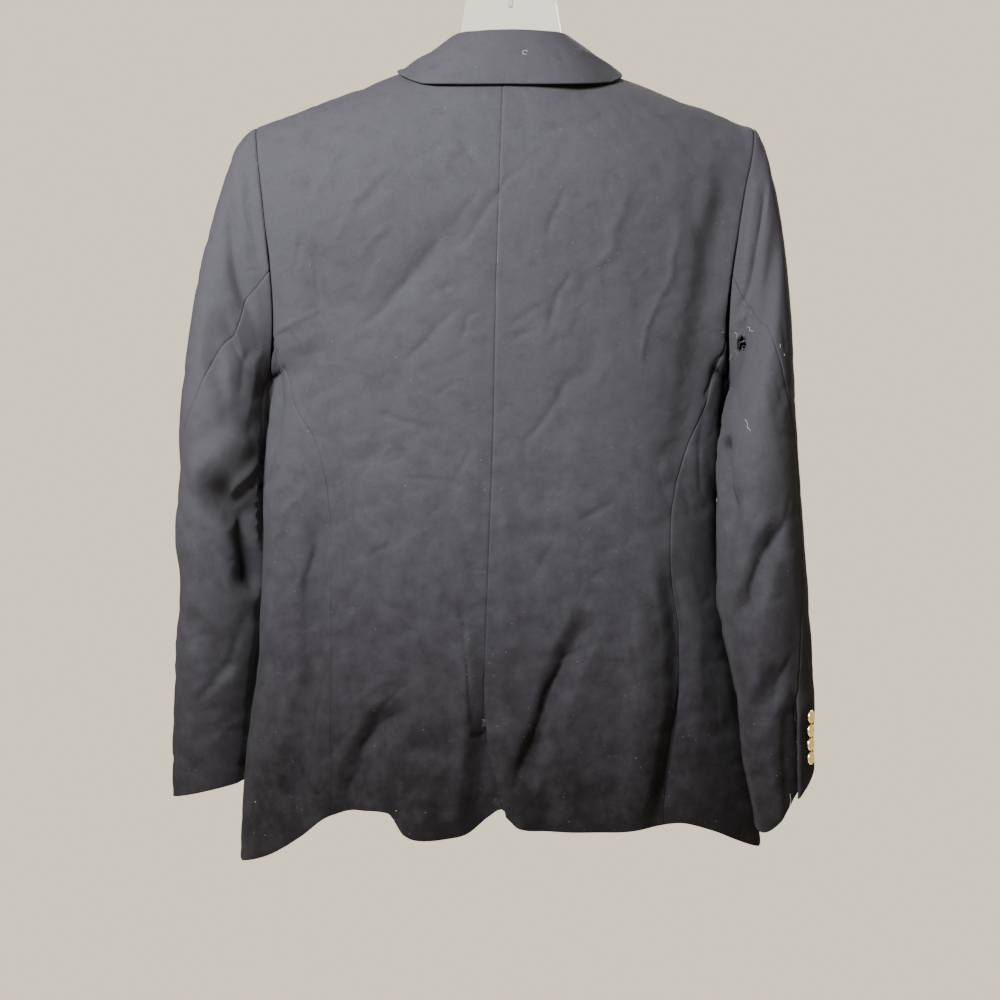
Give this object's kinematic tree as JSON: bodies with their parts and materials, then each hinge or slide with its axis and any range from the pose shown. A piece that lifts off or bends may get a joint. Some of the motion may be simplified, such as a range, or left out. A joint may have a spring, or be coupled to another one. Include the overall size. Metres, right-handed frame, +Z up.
{
  "type": "riding jacket on hanger",
  "caption": "Dark navy tailored riding jacket with a long vented skirt, notch lapels and gilt cuff buttons, hanging on a clear plastic hanger.",
  "frame": {"origin": "inside top of the hanger's hook, where a rail along Y carries it", "axes": "+Z up, the jacket's front towards +Y and its back towards -Y, the wearer's right towards +X"},
  "size_m": [0.5943, 0.1692, 0.8853],
  "materials": {
    "navy_wool": "brushed wool twill",
    "gilt_brass": "polished gilt",
    "clear_plastic": "clear moulded",
    "plated_steel": "plated wire"
  },
  "bodies": {
    "root": {"back_left": "navy_wool", "back_right": "navy_wool", "side_left": "navy_wool", "side_right": "navy_wool", "front_left": "navy_wool", "front_right": "navy_wool", "sleeve_upper_left": "navy_wool", "sleeve_upper_right": "navy_wool", "sleeve_under_left": "navy_wool", "sleeve_under_right": "navy_wool", "lapel_left": "navy_wool", "lapel_right": "navy_wool", "collar_stand": "navy_wool", "collar_fall": "navy_wool", "front_button_1": "gilt_brass", "front_button_2": "gilt_brass", "front_button_3": "gilt_brass", "cuff_button_left_1": "gilt_brass", "cuff_button_left_2": "gilt_brass", "cuff_button_left_3": "gilt_brass", "cuff_button_left_4": "gilt_brass", "cuff_button_right_1": "gilt_brass", "cuff_button_right_2": "gilt_brass", "cuff_button_right_3": "gilt_brass", "cuff_button_right_4": "gilt_brass", "hanger_body": "clear_plastic", "hanger_hook": "plated_steel"}
  },
  "joints": []
}
